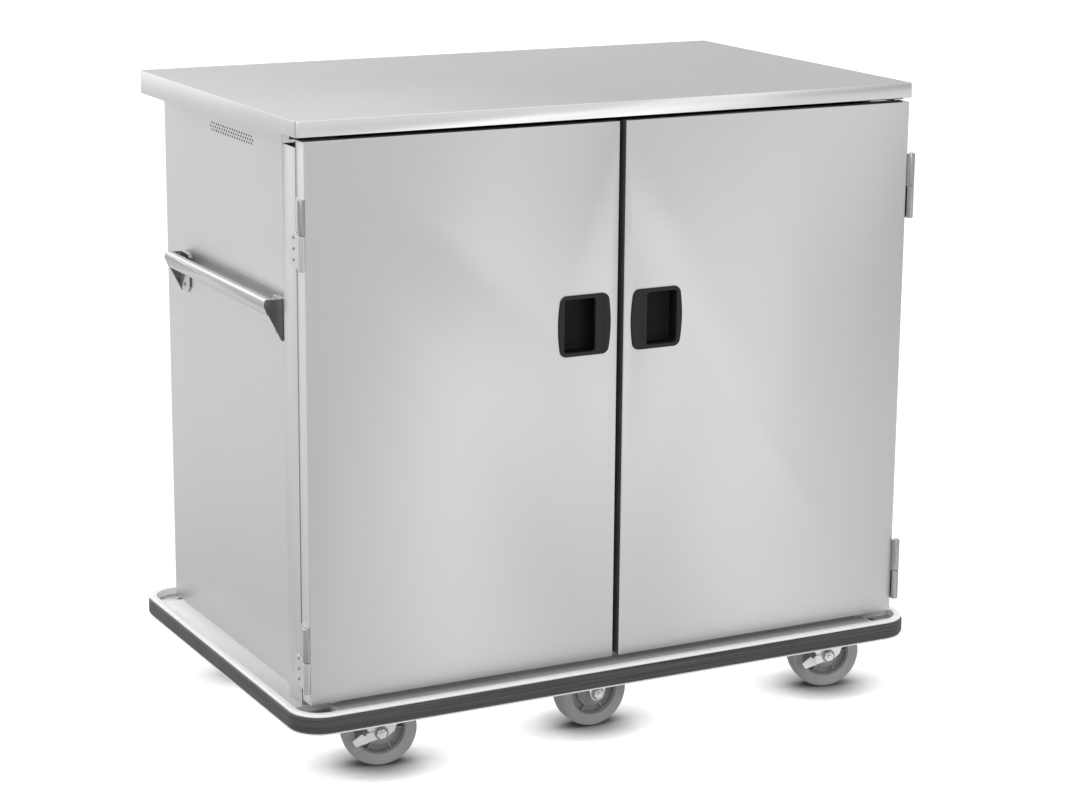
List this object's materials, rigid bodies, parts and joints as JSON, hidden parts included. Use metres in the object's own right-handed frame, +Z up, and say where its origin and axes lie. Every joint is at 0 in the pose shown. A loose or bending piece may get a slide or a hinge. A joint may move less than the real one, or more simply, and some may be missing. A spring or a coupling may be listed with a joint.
{
  "type": "enclosed meal tray cart",
  "caption": "Enclosed stainless tray cart: two bays with tray ledges behind hinged doors, recessed pulls, side push handles, bumpered base on casters.",
  "frame": {"origin": "on the floor, under the middle of the bumper's outline", "axes": "+Z up; the doors face -Y; +X to the right seen from the front, along the cart's length"},
  "size_m": [1.4106, 0.902, 1.306],
  "materials": {
    "stainless": "brushed stainless sheet",
    "inner_steel": "mill-finish stainless sheet",
    "rail_metal": "satin metal",
    "zinc": "bright zinc plate",
    "rubber": "matte black vinyl bumper",
    "seal": "soft dark gasket",
    "black_plastic": "fine-grained black plastic",
    "tyre": "grey non-marking tread on a grey core"
  },
  "bodies": {
    "cabinet": {"bumper_rail": "rail_metal", "bumper": "rubber", "base_deck": "rail_metal", "base_frame": "inner_steel", "front_frame": "stainless", "back_panel": "stainless", "floor_pan": "inner_steel", "ceiling_pan": "inner_steel", "centre_partition": "inner_steel", "worktop": "stainless", "left_side_panel": "stainless", "left_outer_tray_rack": "inner_steel", "left_inner_tray_rack": "inner_steel", "left_push_handle": "stainless", "left_magnetic_catch": "inner_steel", "left_upper_hinge_pin_half": "stainless", "left_lower_hinge_pin_half": "stainless", "right_side_panel": "stainless", "right_outer_tray_rack": "inner_steel", "right_inner_tray_rack": "inner_steel", "right_push_handle": "stainless", "right_magnetic_catch": "inner_steel", "right_upper_hinge_pin_half": "stainless", "right_lower_hinge_pin_half": "stainless", "front_left_caster_plate": "zinc", "front_right_caster_plate": "zinc", "back_left_caster_plate": "zinc", "back_right_caster_plate": "zinc", "front_middle_fork": "zinc", "back_middle_fork": "zinc"},
    "left_door": {"left_door_skin": "stainless", "left_door_liner": "inner_steel", "left_door_gasket": "seal", "left_door_pull": "black_plastic", "left_strike_plate": "zinc", "left_upper_hinge_door_half": "stainless", "left_lower_hinge_door_half": "stainless"},
    "right_door": {"right_door_skin": "stainless", "right_door_liner": "inner_steel", "right_door_gasket": "seal", "right_door_pull": "black_plastic", "right_strike_plate": "zinc", "right_upper_hinge_door_half": "stainless", "right_lower_hinge_door_half": "stainless"},
    "front_left_swivel": {"front_left_fork": "zinc"},
    "front_left_rolling_wheel": {"front_left_wheel": "tyre"},
    "front_left_brake": {"front_left_brake_pedal": "zinc"},
    "front_right_swivel": {"front_right_fork": "zinc"},
    "front_right_rolling_wheel": {"front_right_wheel": "tyre"},
    "front_right_brake": {"front_right_brake_pedal": "zinc"},
    "back_left_swivel": {"back_left_fork": "zinc"},
    "back_left_rolling_wheel": {"back_left_wheel": "tyre"},
    "back_left_brake": {"back_left_brake_pedal": "zinc"},
    "back_right_swivel": {"back_right_fork": "zinc"},
    "back_right_rolling_wheel": {"back_right_wheel": "tyre"},
    "back_right_brake": {"back_right_brake_pedal": "zinc"},
    "front_middle_rolling_wheel": {"front_middle_wheel": "tyre"},
    "back_middle_rolling_wheel": {"back_middle_wheel": "tyre"}
  },
  "joints": [
    {"name": "left_door_hinge", "type": "hinge", "parent": "cabinet", "child": "left_door", "pos_m": [-0.677, -0.414, 0.7], "axis": [0, 0, -1], "range_deg": [0, 255]},
    {"name": "right_door_hinge", "type": "hinge", "parent": "cabinet", "child": "right_door", "pos_m": [0.677, -0.414, 0.7], "axis": [0, 0, 1], "range_deg": [0, 255]},
    {"name": "front_left_swivel_joint", "type": "hinge", "parent": "cabinet", "child": "front_left_swivel", "pos_m": [-0.525, -0.301, 0.17], "axis": [0, 0, 1], "continuous": true},
    {"name": "front_left_wheel_axle", "type": "hinge", "parent": "front_left_swivel", "child": "front_left_rolling_wheel", "pos_m": [-0.48328, -0.3114, 0.0762], "axis": [0.2419, 0.9703, 0], "continuous": true},
    {"name": "front_left_brake_pivot", "type": "hinge", "parent": "front_left_swivel", "child": "front_left_brake", "pos_m": [-0.48328, -0.3114, 0.0762], "axis": [0.2419, 0.9703, 0], "range_deg": [-18, 0]},
    {"name": "front_right_swivel_joint", "type": "hinge", "parent": "cabinet", "child": "front_right_swivel", "pos_m": [0.525, -0.301, 0.17], "axis": [0, 0, 1], "continuous": true},
    {"name": "front_right_wheel_axle", "type": "hinge", "parent": "front_right_swivel", "child": "front_right_rolling_wheel", "pos_m": [0.56672, -0.3114, 0.0762], "axis": [0.2419, 0.9703, 0], "continuous": true},
    {"name": "front_right_brake_pivot", "type": "hinge", "parent": "front_right_swivel", "child": "front_right_brake", "pos_m": [0.56672, -0.3114, 0.0762], "axis": [0.2419, 0.9703, 0], "range_deg": [-18, 0]},
    {"name": "back_left_swivel_joint", "type": "hinge", "parent": "cabinet", "child": "back_left_swivel", "pos_m": [-0.525, 0.301, 0.17], "axis": [0, 0, 1], "continuous": true},
    {"name": "back_left_wheel_axle", "type": "hinge", "parent": "back_left_swivel", "child": "back_left_rolling_wheel", "pos_m": [-0.48328, 0.2906, 0.0762], "axis": [0.2419, 0.9703, 0], "continuous": true},
    {"name": "back_left_brake_pivot", "type": "hinge", "parent": "back_left_swivel", "child": "back_left_brake", "pos_m": [-0.48328, 0.2906, 0.0762], "axis": [0.2419, 0.9703, 0], "range_deg": [-18, 0]},
    {"name": "back_right_swivel_joint", "type": "hinge", "parent": "cabinet", "child": "back_right_swivel", "pos_m": [0.525, 0.301, 0.17], "axis": [0, 0, 1], "continuous": true},
    {"name": "back_right_wheel_axle", "type": "hinge", "parent": "back_right_swivel", "child": "back_right_rolling_wheel", "pos_m": [0.56672, 0.2906, 0.0762], "axis": [0.2419, 0.9703, 0], "continuous": true},
    {"name": "back_right_brake_pivot", "type": "hinge", "parent": "back_right_swivel", "child": "back_right_brake", "pos_m": [0.56672, 0.2906, 0.0762], "axis": [0.2419, 0.9703, 0], "range_deg": [-18, 0]},
    {"name": "front_middle_wheel_axle", "type": "hinge", "parent": "cabinet", "child": "front_middle_rolling_wheel", "pos_m": [0, -0.301, 0.0762], "axis": [0, 1, 0], "continuous": true},
    {"name": "back_middle_wheel_axle", "type": "hinge", "parent": "cabinet", "child": "back_middle_rolling_wheel", "pos_m": [0, 0.301, 0.0762], "axis": [0, 1, 0], "continuous": true}
  ]
}
